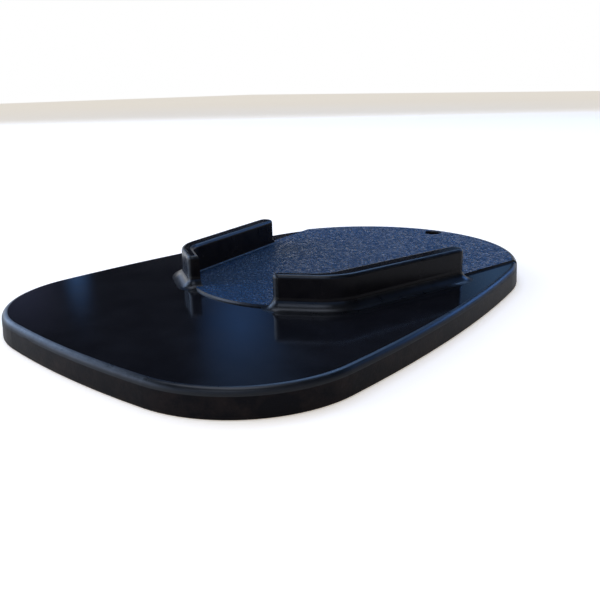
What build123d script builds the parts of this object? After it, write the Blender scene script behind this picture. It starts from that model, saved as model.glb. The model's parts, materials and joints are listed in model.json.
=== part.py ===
"""Kickstand pad, moulded in one piece. Millimetres.

Z is up and the pad lies on its flat underside. The narrow end, where the channel between the rails opens,
points to +Y.
"""
import os
from math import cos, radians, sin, tan

from build123d import *

# plate
PAD_LENGTH = 140.0          # wide end to narrow end, along Y
PAD_WIDTH = 96.0            # across the widest place, along X
PLATE_THICKNESS = 5.6       # underside to the smooth top
WIDE_END_RADIUS = 218.0     # slight bow of the wide end
CORNER_ANGLE = 6.0          # outline heading, in degrees from +X, where the wide corner begins
SIDE_ANGLE = 88.7           # heading where the bowed side begins
NOSE_ANGLE = 101.3          # heading where the narrow end begins
WALL_DRAFT = 3.0            # degrees, so the moulding leaves its tool
TOP_EDGE_RADIUS = 1.4
BOTTOM_EDGE_RADIUS = 0.4

# hooked rails, one on each side of the channel
RAIL_RISE = 7.9             # top of the rails above the smooth top
RAIL_WIDTH = 4.6
RAIL_ANGLE = 11.8           # each rail to the Y axis, closing toward the wide end
HOOK_ANGLE = 31.5           # each hook to the X axis
HOOK_WIDTH = 2.8            # thinner than the rail, its outer side in line with the bend
HOOK_LENGTH = 14.0          # from the bend's corner to the hook's end, on the centre line
RAIL_LENGTH = 40.2          # from the open end to the bend's corner, on the centre line
RAIL_FROM_SIDE = 15.1       # centre line at the open end, from the plate's widest place
RAIL_FROM_NOSE = 47.6       # open end from the narrow end
BEND_RADIUS = 11.6          # outer side of the bend
FLARE_RADIUS = 2.8          # hollow foot along the outer side and round both ends
ROOT_RADIUS = 0.5           # foot of the inner wall
RAIL_EDGE_RADIUS = 0.9      # all round the top
HOOK_CORNER_RADIUS = 1.5

# grained land between the rails
LAND_RISE = 0.5             # above the smooth top
LAND_SLOPE = 20.0           # degrees, lean of its border
LAND_SIDE_ANGLE = 9.0       # border to the Y axis beyond the rails
LAND_BOW_RADIUS = 29.4      # border between the hooks

# hole for a retrieving cord
HOLE_DIAMETER = 5.1
HOLE_FROM_NOSE = 5.3        # its centre from the narrow end
HOLE_EDGE = 0.3

SMOOTH_Z = PLATE_THICKNESS
LAND_Z = SMOOTH_Z + LAND_RISE
RAIL_Z = SMOOTH_Z + RAIL_RISE


def mirrored(points):
    """The same points on the -X side, in the opposite order."""
    return [(-x, y) for x, y in reversed(points)]


def outline_radii():
    """Radii of corner, side and narrow end that close the outline to the asked length and width."""
    s1, s2, s3 = (sin(radians(a)) for a in (CORNER_ANGLE, SIDE_ANGLE, NOSE_ANGLE))
    c1, c2, c3 = (cos(radians(a)) for a in (CORNER_ANGLE, SIDE_ANGLE, NOSE_ANGLE))
    half = PAD_WIDTH / 2
    corner_0, corner_1 = (half - WIDE_END_RADIUS * s1) / (s2 - s1), (1 - s2) / (s2 - s1)
    nose_0, nose_1 = half / s3, (1 - s3) / s3
    rest = PAD_LENGTH - WIDE_END_RADIUS * (1 - c1) - corner_0 * (c1 - c2) - nose_0 * (1 + c3)
    side = rest / ((c2 - c3) - corner_1 * (c1 - c2) - nose_1 * (1 + c3))
    return corner_0 - corner_1 * side, side, nose_0 - nose_1 * side


def pad_outline():
    """The outline at the underside: tangent arcs from the middle of the wide end, mirrored."""
    corner, side, nose = outline_radii()
    turns = (0, CORNER_ANGLE, SIDE_ANGLE, NOSE_ANGLE, 180)
    x, y, half = 0.0, -PAD_LENGTH / 2, []
    for radius, start, stop in zip((WIDE_END_RADIUS, corner, side, nose), turns, turns[1:]):
        def along(heading):
            a, b = radians(start), radians(heading)
            return x + radius * (sin(b) - sin(a)), y + radius * (cos(a) - cos(b))
        mid, end = along((start + stop) / 2), along(stop)
        half.append(ThreePointArc((x, y), mid, end))
        x, y = end
    right = Curve() + half
    return make_face(right + mirror(right, about=Plane.YZ))


def plate(thickness):
    """The outline drawn up with draft, its edges rounded."""
    body = extrude(pad_outline(), amount=thickness, taper=WALL_DRAFT)
    body = fillet(body.edges().group_by(Axis.Z)[-1], TOP_EDGE_RADIUS)
    return fillet(body.edges().group_by(Axis.Z)[0], BOTTOM_EDGE_RADIUS)


def along_rail():
    return Vector(sin(radians(RAIL_ANGLE)), cos(radians(RAIL_ANGLE)))


def along_hook():
    return Vector(-cos(radians(HOOK_ANGLE)), -sin(radians(HOOK_ANGLE)))


def centre_line():
    """Hook end, bend corner and open end of the +X rail, on its centre line."""
    end = Vector(PAD_WIDTH / 2 - RAIL_FROM_SIDE, PAD_LENGTH / 2 - RAIL_FROM_NOSE)
    bend = end - along_rail() * RAIL_LENGTH
    return bend + along_hook() * HOOK_LENGTH, bend, end


def outward():
    """Outward directions across the hook and across the rail."""
    rail, hook = along_rail(), along_hook()
    return Vector(-hook.Y, hook.X), Vector(rail.Y, -rail.X)


def bend_corner(rail_shift, hook_shift):
    """Where the rail's and the hook's lines meet when each is moved outward by its own shift."""
    across_hook, across_rail = outward()
    step = (hook_shift - rail_shift * across_rail.dot(across_hook)) / along_rail().dot(across_hook)
    return centre_line()[1] + across_rail * rail_shift + along_rail() * step


def socket_block():
    """Both rails, round at the open end, with the room between them still filled, standing in the plate."""
    hook_end, bend, rail_end = centre_line()
    across_hook, across_rail = outward()
    half, deep = RAIL_WIDTH / 2, 0.7 * RAIL_WIDTH
    inner_end = rail_end - across_rail * half
    inner_back = inner_end - along_rail() * (RAIL_WIDTH + FLARE_RADIUS)
    right = [hook_end - across_hook * deep, hook_end + across_hook * half, bend_corner(half, half),
             rail_end + across_rail * half, inner_end, inner_back]
    right = [(p.X, p.Y) for p in right]
    face = make_face(Polyline(*right, *mirrored(right), close=True))
    rounds = (HOOK_CORNER_RADIUS, BEND_RADIUS, 0.99 * half, 0.99 * half)
    for (x, y), radius in zip(right[1:5], rounds):
        for side in (1, -1):
            face = fillet(face.vertices().sort_by_distance((side * x, y))[0], radius)
    return Pos(Z=SMOOTH_Z / 2) * extrude(face, amount=RAIL_Z - SMOOTH_Z / 2)


def channel():
    """The room between the rails, drawn past both of their ends."""
    hook_end, bend, rail_end = centre_line()
    across_hook, across_rail = outward()
    half, hook_inner = RAIL_WIDTH / 2, RAIL_WIDTH / 2 - HOOK_WIDTH
    inner_end = rail_end - across_rail * half + along_rail() * (3 * FLARE_RADIUS)
    inner_hook = hook_end + across_hook * hook_inner
    mouth = inner_hook + along_hook() * (inner_hook.X / -along_hook().X)
    corner = bend_corner(-half, hook_inner)
    right = [(corner.X, corner.Y), (inner_end.X, inner_end.Y)]
    face = make_face(Polyline((mouth.X, mouth.Y), *right, *mirrored(right), close=True))
    for x, y in (right[0], mirrored(right)[1]):
        face = fillet(face.vertices().sort_by_distance((x, y))[0], BEND_RADIUS - RAIL_WIDTH)
    room = Pos(Z=LAND_Z) * extrude(face, amount=2 * RAIL_RISE)
    return fillet(room.edges().group_by(Axis.Z)[0], ROOT_RADIUS)


def land_prism():
    """Where the grained land stands, from the bowed border between the hooks out through the narrow end."""
    hook_end, bend, rail_end = centre_line()
    bow_end = hook_end - along_hook() * (HOOK_WIDTH / 2) + outward()[0] * (RAIL_WIDTH / 2 - HOOK_WIDTH * 0.4)
    sag = LAND_BOW_RADIUS - (LAND_BOW_RADIUS ** 2 - bow_end.X ** 2) ** 0.5
    far_x = rail_end.X + tan(radians(LAND_SIDE_ANGLE)) * PAD_LENGTH
    right = [(p.X, p.Y) for p in (bow_end, bend_corner(0, RAIL_WIDTH / 2 - HOOK_WIDTH * 0.4), rail_end)]
    right.append((far_x, rail_end.Y + PAD_LENGTH))
    border = Polyline(*right, *mirrored(right))
    border += ThreePointArc((-bow_end.X, bow_end.Y), (0, bow_end.Y - sag), (bow_end.X, bow_end.Y))
    grow = tan(radians(LAND_SLOPE)) * LAND_Z
    foot = offset(make_face(border), amount=grow, kind=Kind.INTERSECTION)
    return extrude(foot, amount=LAND_Z, taper=LAND_SLOPE)


def rails_on(base):
    """Rails and hooks with their hollow foot, the channel cut out and the top edges rounded."""
    body = base + socket_block()
    top = body.faces().filter_by(Axis.Z).filter_by_position(Axis.Z, SMOOTH_Z - 0.01, SMOOTH_Z + 0.01)[0]
    body = fillet(top.inner_wires().edges(), FLARE_RADIUS) - channel()
    return fillet(body.edges().group_by(Axis.Z)[-1], RAIL_EDGE_RADIUS)


def hole():
    """Straight hole through land and plate, its mouth broken top and bottom."""
    r, upright = HOLE_DIAMETER / 2, (Align.CENTER, Align.CENTER, Align.MIN)
    drill = Cylinder(r, LAND_Z, align=upright)
    lower = Cone(r + HOLE_EDGE, r, HOLE_EDGE, align=upright)
    upper = Pos(Z=LAND_Z - HOLE_EDGE) * Cone(r, r + HOLE_EDGE, HOLE_EDGE, align=upright)
    return Pos(Y=PAD_LENGTH / 2 - HOLE_FROM_NOSE) * (drill + lower + upper)


def kickstand_pad():
    """Smooth plate and rails, with the thicker plate set in where the land is."""
    where = land_prism()
    return (rails_on(plate(PLATE_THICKNESS)) - where) + (plate(LAND_Z) & where) - hole()


pad = kickstand_pad()
pad.label = "kickstand_pad"
os.makedirs("parts", exist_ok=True)
export_step(pad, "parts/kickstand_pad.step")
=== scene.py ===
"""Kickstand pad, dressed for a studio photograph. Metres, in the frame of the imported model."""
import json
from math import radians

import bpy
from mathutils import Matrix, Vector
from mathutils.kdtree import KDTree

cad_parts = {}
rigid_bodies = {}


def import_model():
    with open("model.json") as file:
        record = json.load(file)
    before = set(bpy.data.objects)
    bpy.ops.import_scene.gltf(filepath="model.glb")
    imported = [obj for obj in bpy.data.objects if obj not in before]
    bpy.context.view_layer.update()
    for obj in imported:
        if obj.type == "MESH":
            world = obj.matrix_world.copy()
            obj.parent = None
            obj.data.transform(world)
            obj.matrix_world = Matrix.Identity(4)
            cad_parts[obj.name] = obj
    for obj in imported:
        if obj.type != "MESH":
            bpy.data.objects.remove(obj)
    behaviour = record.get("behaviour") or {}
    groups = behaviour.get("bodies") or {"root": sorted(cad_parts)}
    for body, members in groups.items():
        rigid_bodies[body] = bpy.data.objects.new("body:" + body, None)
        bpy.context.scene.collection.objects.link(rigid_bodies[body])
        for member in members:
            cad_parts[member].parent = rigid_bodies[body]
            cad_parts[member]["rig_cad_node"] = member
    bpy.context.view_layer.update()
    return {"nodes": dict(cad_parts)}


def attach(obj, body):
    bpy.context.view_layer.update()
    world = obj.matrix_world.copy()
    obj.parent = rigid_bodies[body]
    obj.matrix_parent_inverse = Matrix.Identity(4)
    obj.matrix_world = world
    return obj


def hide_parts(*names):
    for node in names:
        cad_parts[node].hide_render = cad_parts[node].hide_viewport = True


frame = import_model()


# The pad: one injection moulding of black ABS. A copy of the solid's mesh has its loose triangles joined and
# takes over the solid's exact normals, so that the polished faces mirror without facets.
MERGE_DISTANCE = 0.000001
CORNER_INSET = 0.2          # share of the way from a face's corner to its middle
cad_pad = frame["nodes"]["kickstand_pad"]
bpy.ops.object.select_all(action="DESELECT")
cad_pad.select_set(True)
bpy.context.view_layer.objects.active = cad_pad
bpy.ops.object.duplicate()
pad = bpy.context.object
pad.name = "moulded_pad"
del pad["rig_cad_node"]
bpy.ops.object.mode_set(mode="EDIT")
bpy.ops.mesh.select_all(action="SELECT")
bpy.ops.mesh.remove_doubles(threshold=MERGE_DISTANCE)
bpy.ops.object.mode_set(mode="OBJECT")
bpy.ops.object.shade_smooth()


def corners(mesh):
    """Each face corner, drawn a little into its face so that no two share a place."""
    for face in mesh.polygons:
        for corner in face.loop_indices:
            yield mesh.vertices[mesh.loops[corner].vertex_index].co.lerp(face.center, CORNER_INSET)


nearest = KDTree(len(cad_pad.data.loops))
for index, point in enumerate(corners(cad_pad.data)):
    nearest.insert(point, index)
nearest.balance()
exact = [cad_pad.data.corner_normals[nearest.find(point)[1]].vector for point in corners(pad.data)]
pad.data.normals_split_custom_set(exact)
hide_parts("kickstand_pad")
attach(pad, "root")


# Smooth top and the rails' flat tops: ABS moulded against a polished part of the tool. It is deep black with
# a soft mirror, a slow waviness where the plate sank while it cooled, and a haze from handling.
def linear(hex_colour):
    """sRGB hex to the linear colour that shaders take."""
    channels = [int(hex_colour[i:i + 2], 16) / 255 for i in (1, 3, 5)]
    return [c / 12.92 if c <= 0.04045 else ((c + 0.055) / 1.055) ** 2.4 for c in channels] + [1.0]


def add(tree, kind, links=(), inputs=(), stops=(), **settings):
    """One node with its settings.

    Links pair a socket with its source, inputs pair one with a value. Stops are a ramp's places and colours.
    """
    node = tree.nodes.new(kind)
    for name, value in settings.items():
        setattr(node, name, value)
    for socket, value in inputs:
        node.inputs[socket].default_value = value
    for socket, source in links:
        tree.links.new(source, node.inputs[socket])
    for _ in stops[2:]:
        node.color_ramp.elements.new(0.5)
    for index, (position, colour) in enumerate(stops):
        node.color_ramp.elements[index].position = position
        node.color_ramp.elements[index].color = linear(colour)
    return node


def blank(name):
    """A new material and its node tree, still empty."""
    material = bpy.data.materials.new(name)
    material.use_nodes = True
    material.node_tree.nodes.clear()
    return material, material.node_tree


polished, tree = blank("polished_black_abs")
place = add(tree, "ShaderNodeTexCoord").outputs["Object"]
# handling haze, patches about 9 mm wide
haze = add(tree, "ShaderNodeTexNoise", [("Vector", place)],
           [("Scale", 1 / 0.009), ("Detail", 4.0), ("Roughness", 0.62)]).outputs["Fac"]
rough = add(tree, "ShaderNodeMapRange", [("Value", haze)],
            [("From Min", 0.35), ("From Max", 0.7), ("To Min", 0.09), ("To Max", 0.14)]).outputs[0]
tint = add(tree, "ShaderNodeValToRGB", [("Fac", haze)],
           stops=[(0.35, "#0F0F12"), (0.7, "#151518")]).outputs[0]
# slow waviness, about 30 mm from crest to crest and 0.02 mm high
wave = add(tree, "ShaderNodeTexNoise", [("Vector", place)], [("Scale", 1 / 0.030), ("Detail", 1.0)])
sink = add(tree, "ShaderNodeBump", [("Height", wave.outputs["Fac"])], [("Distance", 0.00002)]).outputs[0]
shader = add(tree, "ShaderNodeBsdfPrincipled",
             [("Base Color", tint), ("Roughness", rough), ("Normal", sink)], [("IOR", 1.42)])
add(tree, "ShaderNodeOutputMaterial", [("Surface", shader.outputs[0])])
pad.data.materials.clear()
pad.data.materials.append(polished)


# The land between the rails: ABS moulded against spark-eroded steel. Its fine pebbled grain scatters the
# light, so that it is charcoal from above. At a low angle it shows a blue sheen, a painted reflection of the
# sky.
grained, tree = blank("spark_eroded_black_abs")
place = add(tree, "ShaderNodeTexCoord").outputs["Object"]
# pits about 0.3 mm wide, drawn at 0.7 mm so that they show, each with its own roughness and tint. The
# lighter tints are partly dust and partly painted glints.
pits = add(tree, "ShaderNodeTexVoronoi", [("Vector", place)], [("Scale", 1 / 0.0007)])
chance = add(tree, "ShaderNodeSeparateColor", [("Color", pits.outputs["Color"])]).outputs[0]
tint = add(tree, "ShaderNodeValToRGB", [("Fac", chance)],
           stops=[(0.5, "#030304"), (1.0, "#2E323B")]).outputs[0]
rough = add(tree, "ShaderNodeMapRange", [("Value", chance)],
            [("To Min", 0.62), ("To Max", 0.22)]).outputs[0]
# the same pits as relief, drawn 0.3 mm deep to go with their width
pebble = add(tree, "ShaderNodeBump", [("Height", pits.outputs["Distance"])],
             [("Strength", 0.9), ("Distance", 0.0003)], invert=True).outputs[0]
# the sheen's blue tint is a painted reflection of the sky: it shows blue at a low angle under any light
shader = add(tree, "ShaderNodeBsdfPrincipled",
             [("Base Color", tint), ("Roughness", rough), ("Normal", pebble)],
             [("IOR", 1.5), ("Specular IOR Level", 0.22), ("Sheen Weight", 0.34), ("Sheen Roughness", 0.35),
              ("Sheen Tint", linear("#2496F8"))])
add(tree, "ShaderNodeOutputMaterial", [("Surface", shader.outputs[0])])
pad.data.materials.append(grained)


# The plate's wall, its underside and the hole: ABS moulded against finely eroded steel. That gives a satin
# skin which mirrors next to nothing, and brownish dust clings to it in patches.
satin, tree = blank("satin_black_abs")
place = add(tree, "ShaderNodeTexCoord").outputs["Object"]
# satin about 0.15 mm, drawn at 0.5 mm so that it shows
fine = add(tree, "ShaderNodeTexNoise", [("Vector", place)], [("Scale", 1 / 0.0005), ("Detail", 2.0)])
skin = add(tree, "ShaderNodeBump", [("Height", fine.outputs["Fac"])], [("Distance", 0.00003)]).outputs[0]
# dust in patches about 6 mm wide
dust = add(tree, "ShaderNodeTexNoise", [("Vector", place)],
           [("Scale", 1 / 0.006), ("Detail", 5.0), ("Roughness", 0.7)]).outputs["Fac"]
tint = add(tree, "ShaderNodeValToRGB", [("Fac", dust)],
           stops=[(0.42, "#0D0C0F"), (0.72, "#231C1A")]).outputs[0]
shader = add(tree, "ShaderNodeBsdfPrincipled", [("Base Color", tint), ("Normal", skin)],
             [("IOR", 1.5), ("Roughness", 0.48), ("Specular IOR Level", 0.05)])
add(tree, "ShaderNodeOutputMaterial", [("Surface", shader.outputs[0])])
pad.data.materials.append(satin)


# The rounded edges, the hooks' corners and the rails' hollow feet: ABS that was moulded bright and is rubbed
# by use. Its polish has gone half dull, so that light spreads along it in soft lines.
RIM_DULL_Z = 0.0046         # down here the plate's rim is as dull as the wall under it
RIM_RUBBED_Z = 0.0053       # from here up it is only rubbed
rubbed, tree = blank("rubbed_black_abs")
place = add(tree, "ShaderNodeTexCoord").outputs["Object"]
# scuffs about 3 mm long
scuff = add(tree, "ShaderNodeTexNoise", [("Vector", place)],
            [("Scale", 1 / 0.003), ("Detail", 4.0), ("Roughness", 0.6)]).outputs["Fac"]
worn = add(tree, "ShaderNodeMapRange", [("Value", scuff)],
           [("From Min", 0.35), ("From Max", 0.7), ("To Min", 0.27), ("To Max", 0.36)]).outputs[0]
tint = add(tree, "ShaderNodeValToRGB", [("Fac", scuff)],
           stops=[(0.4, "#090A0C"), (0.7, "#141416")]).outputs[0]
height = add(tree, "ShaderNodeSeparateXYZ", [("Vector", place)]).outputs["Z"]
dull = add(tree, "ShaderNodeMapRange", [("Value", height)],
           [("From Min", RIM_DULL_Z), ("From Max", RIM_RUBBED_Z),
            ("To Min", 0.4), ("To Max", 0.0)]).outputs[0]
rough = add(tree, "ShaderNodeMath", [(0, worn), (1, dull)], operation="ADD").outputs[0]
shader = add(tree, "ShaderNodeBsdfPrincipled",
             [("Base Color", tint), ("Roughness", rough)], [("IOR", 1.42)])
add(tree, "ShaderNodeOutputMaterial", [("Surface", shader.outputs[0])])
pad.data.materials.append(rubbed)


# The rails' upright sides: ABS that slid along ground steel as it left the tool. They are even and half
# bright, and darker than the top.
drawn, tree = blank("drawn_black_abs")
place = add(tree, "ShaderNodeTexCoord").outputs["Object"]
# slow unevenness, patches about 5 mm wide
patch = add(tree, "ShaderNodeTexNoise", [("Vector", place)],
            [("Scale", 1 / 0.005), ("Detail", 3.0)]).outputs["Fac"]
rough = add(tree, "ShaderNodeMapRange", [("Value", patch)],
            [("From Min", 0.35), ("From Max", 0.7), ("To Min", 0.20), ("To Max", 0.29)]).outputs[0]
tint = add(tree, "ShaderNodeValToRGB", [("Fac", patch)],
           stops=[(0.35, "#121114"), (0.7, "#1B191B")]).outputs[0]
shader = add(tree, "ShaderNodeBsdfPrincipled", [("Base Color", tint), ("Roughness", rough)],
             [("IOR", 1.5), ("Specular IOR Level", 0.06)])
add(tree, "ShaderNodeOutputMaterial", [("Surface", shader.outputs[0])])
pad.data.materials.append(drawn)


# Each face takes the finish of its place in the tool. Heights are those of the solid's smooth top and its
# land. The other values are parts of a face's normal: upward, or along Y, where the wide end is at -Y.
SMOOTH_Z = 0.0056
LAND_Z = 0.0061
ON_HEIGHT = 0.00001         # how near a face's middle is to the land's height
FLAT_UP = 0.9995            # above this a face is flat
WALL_UP = 0.08              # below this it is the drafted wall, the hole or the underside
RAIL_UP = 0.3               # below this it is upright
HOOK_CORNER_Y = -0.88       # below this it belongs to a hook's rounded corner
for face in pad.data.polygons:
    z, normal = face.center.z, face.normal
    if abs(z - LAND_Z) < ON_HEIGHT and normal.z > FLAT_UP:
        finish = grained
    elif z < SMOOTH_Z and normal.z < WALL_UP:
        finish = satin
    elif z > LAND_Z and normal.z < RAIL_UP and normal.y > HOOK_CORNER_Y:
        finish = drawn
    elif normal.z < FLAT_UP:
        finish = rubbed
    else:
        finish = polished
    face.material_index = pad.data.materials.find(finish.name)


# The floor: a sheet of white paper, wide enough to run out of the picture. Where it is seen straight or in a
# mirror it glows a little, so that it comes out white and keeps the shadow.
FLOOR_Z = -0.00005          # a hair below the pad
bpy.ops.object.select_all(action="DESELECT")
bpy.ops.mesh.primitive_plane_add(size=6.0, location=(0, 0, FLOOR_Z))
floor = bpy.context.object
floor.name = "paper_floor"
paper, tree = blank("white_paper")
ray = add(tree, "ShaderNodeLightPath").outputs
mirrored = add(tree, "ShaderNodeMath", [(0, ray["Is Glossy Ray"]), (1, ray["Is Transmission Ray"])],
               operation="ADD")
seen = add(tree, "ShaderNodeMath", [(0, ray["Is Camera Ray"]), (1, mirrored.outputs[0])], operation="ADD")
matte = add(tree, "ShaderNodeBsdfDiffuse", inputs=[("Color", linear("#F2F1EE"))])
glow = add(tree, "ShaderNodeEmission", [("Strength", seen.outputs[0])], [("Color", linear("#AAA297"))])
both = add(tree, "ShaderNodeAddShader", [(0, matte.outputs[0]), (1, glow.outputs[0])])
add(tree, "ShaderNodeOutputMaterial", [("Surface", both.outputs[0])])
floor.data.materials.append(paper)


# The dark backdrop card stands behind the pad, above the picture, and keeps the glossy top black. It is no
# lamp but glows with its own light, dark with blue clouds, so that the mirror in the top isn't even.
def upright_card(name, width, height, middle, turn):
    """A standing card of the stage, turned by so many degrees about the vertical."""
    bpy.ops.object.select_all(action="DESELECT")
    bpy.ops.mesh.primitive_plane_add(size=1.0)
    card = bpy.context.object
    card.name = name
    bpy.ops.transform.resize(value=(width, height, 1.0))
    bpy.ops.object.transform_apply(location=False, rotation=False, scale=True)
    card.matrix_world = (Matrix.Translation(middle) @ Matrix.Rotation(radians(turn), 4, "Z")
                         @ Matrix.Rotation(radians(90), 4, "X"))
    return card


CARD_GLOW_BLACK = "#131419"
# glowing clouds: middle across and up from the card's own, half width, half height, colour
CLOUDS = [(-0.495, -0.175, 0.10, 0.12, "#40445C"),
          (-0.386, -0.18, 0.028, 0.075, "#456A9E"),
          (-0.104, -0.07, 0.085, 0.15, "#3E66A2"),
          (-0.085, 0.035, 0.13, 0.16, "#34455F"),
          (0.338, -0.175, 0.11, 0.20, "#48688F"),
          (0.0, 0.30, 0.95, 0.22, "#78B0FF")]
backdrop = upright_card("backdrop_card", width=1.30, height=0.51, middle=(-0.66, 0.75, 0.445), turn=41.3)
glowing_card, tree = blank("glowing_clouded_card")
place = add(tree, "ShaderNodeTexCoord").outputs["Object"]
card_glow = add(tree, "ShaderNodeRGB").outputs[0]
card_glow.default_value = linear(CARD_GLOW_BLACK)
for x, y, half_width, half_height, colour in CLOUDS:
    spot = add(tree, "ShaderNodeMapping", [("Vector", place)],
               [("Location", (-x / half_width, -y / half_height, 0)),
                ("Scale", (1 / half_width, 1 / half_height, 1))])
    soft = add(tree, "ShaderNodeTexGradient", [("Vector", spot.outputs[0])],
               gradient_type="SPHERICAL").outputs["Fac"]
    card_glow = add(tree, "ShaderNodeMix", [("Factor", soft), ("A", card_glow)], [("B", linear(colour))],
                data_type="RGBA").outputs["Result"]
# the card glows with this colour as its own light, though it is no lamp
glow = add(tree, "ShaderNodeEmission", [("Color", card_glow)], [("Strength", 1.6)])
add(tree, "ShaderNodeOutputMaterial", [("Surface", glow.outputs[0])])
backdrop.data.materials.append(glowing_card)


# The black flag: a card covered with felt on the right, out of the picture. It keeps the rails' outer sides
# and the land's border dark.
flag = upright_card("black_flag", width=1.10, height=0.75, middle=(0.80, 0.42, 0.42), turn=-62.0)
felt, tree = blank("black_felt")
shader = add(tree, "ShaderNodeBsdfPrincipled", inputs=[("Base Color", linear("#16171A")), ("Roughness", 1.0)])
add(tree, "ShaderNodeOutputMaterial", [("Surface", shader.outputs[0])])
flag.data.materials.append(felt)


# Soft boxes: the key and its kicker draw the light line along the left rim, the window on the left lights
# the far hook, and the sky boxes give the blue of the right rim and, with the land's painted blue sheen, of
# the land. The front window and the overhead box light the rails' feet and top edges.
def softbox(name, place, width, length, colour, watts):
    """An area lamp at place that looks at the pad."""
    lamp = bpy.data.lights.new(name, "AREA")
    lamp.shape = "RECTANGLE"
    lamp.size, lamp.size_y = width, length
    lamp.color = linear(colour)[:3]
    lamp.energy = watts
    box = bpy.data.objects.new(name, lamp)
    bpy.context.scene.collection.objects.link(box)
    box.location = place
    box.rotation_euler = (-Vector(place)).to_track_quat("-Z", "Y").to_euler()


softbox("key_left", (-0.84, -0.36, 0.41), 1.0, 0.7, "#C4DCFF", 4.3)
softbox("front_kicker", (-0.62, -0.74, 0.30), 0.5, 0.4, "#D8E4FF", 2.4)
softbox("sky_behind", (-0.37, 0.79, 0.96), 0.7, 0.5, "#96C2FF", 4.2)
softbox("window_left", (-1.00, 0.02, 0.40), 0.62, 0.5, "#BCD6FF", 1.3)
softbox("sky_right", (0.17, 0.96, 0.42), 0.5, 0.26, "#6AA4FF", 1.1)
softbox("window_front", (0.30, -0.62, 0.84), 0.6, 0.4, "#D0DEFA", 1.9)
softbox("overhead", (-0.25, 0.05, 1.15), 0.5, 0.9, "#DCE6FC", 3.8)


# The world is open shade: white at the horizon, a dark band above it and blue sky over that. Dull surfaces
# get an even grey light from it instead, so that the bands show in mirrors only.
world = bpy.data.worlds.new("open_shade")
bpy.context.scene.world = world
world.use_nodes = True
tree = world.node_tree
tree.nodes.clear()
toward = add(tree, "ShaderNodeTexCoord").outputs["Generated"]
climb = add(tree, "ShaderNodeSeparateXYZ", [("Vector", toward)]).outputs["Z"]
heaven = add(tree, "ShaderNodeValToRGB", [("Fac", climb)],
             stops=[(0.108, "#FFFFFF"), (0.118, "#1C2536"), (0.22, "#1C2536"), (0.30, "#6E9CE0"),
                    (0.46, "#6E9CE0"), (0.60, "#2A3242"), (0.95, "#3A4048")]).outputs[0]
ray = add(tree, "ShaderNodeLightPath").outputs
light = add(tree, "ShaderNodeMix", [("Factor", ray["Is Diffuse Ray"]), ("A", heaven)],
            [("B", linear("#AAA9A6"))], data_type="RGBA")
sky = add(tree, "ShaderNodeBackground", [("Color", light.outputs["Result"])])
add(tree, "ShaderNodeOutputWorld", [("Surface", sky.outputs[0])])


# The camera stands low over the wide end's right corner and looks across the pad to its narrow end. Its lens
# is shifted a little, as in a cropped picture. Angles in degrees.
CAMERA_PLACE = (0.11666, -0.13374, 0.05306)
HEADING, DOWNWARD, ROLL = 42.346, 17.075, -1.295
camera = bpy.data.cameras.new("camera")
camera.sensor_width = 36.0
camera.lens = 42.295
camera.shift_x, camera.shift_y = 0.02032, 0.00197
camera.clip_start = 0.01
camera_object = bpy.data.objects.new("camera", camera)
bpy.context.scene.collection.objects.link(camera_object)
camera_object.matrix_world = (Matrix.Translation(CAMERA_PLACE)
                              @ Matrix.Rotation(radians(HEADING), 4, "Z")
                              @ Matrix.Rotation(radians(90 - DOWNWARD), 4, "X")
                              @ Matrix.Rotation(radians(ROLL), 4, "Z"))
bpy.context.scene.camera = camera_object
bpy.context.scene.view_settings.view_transform = "Standard"
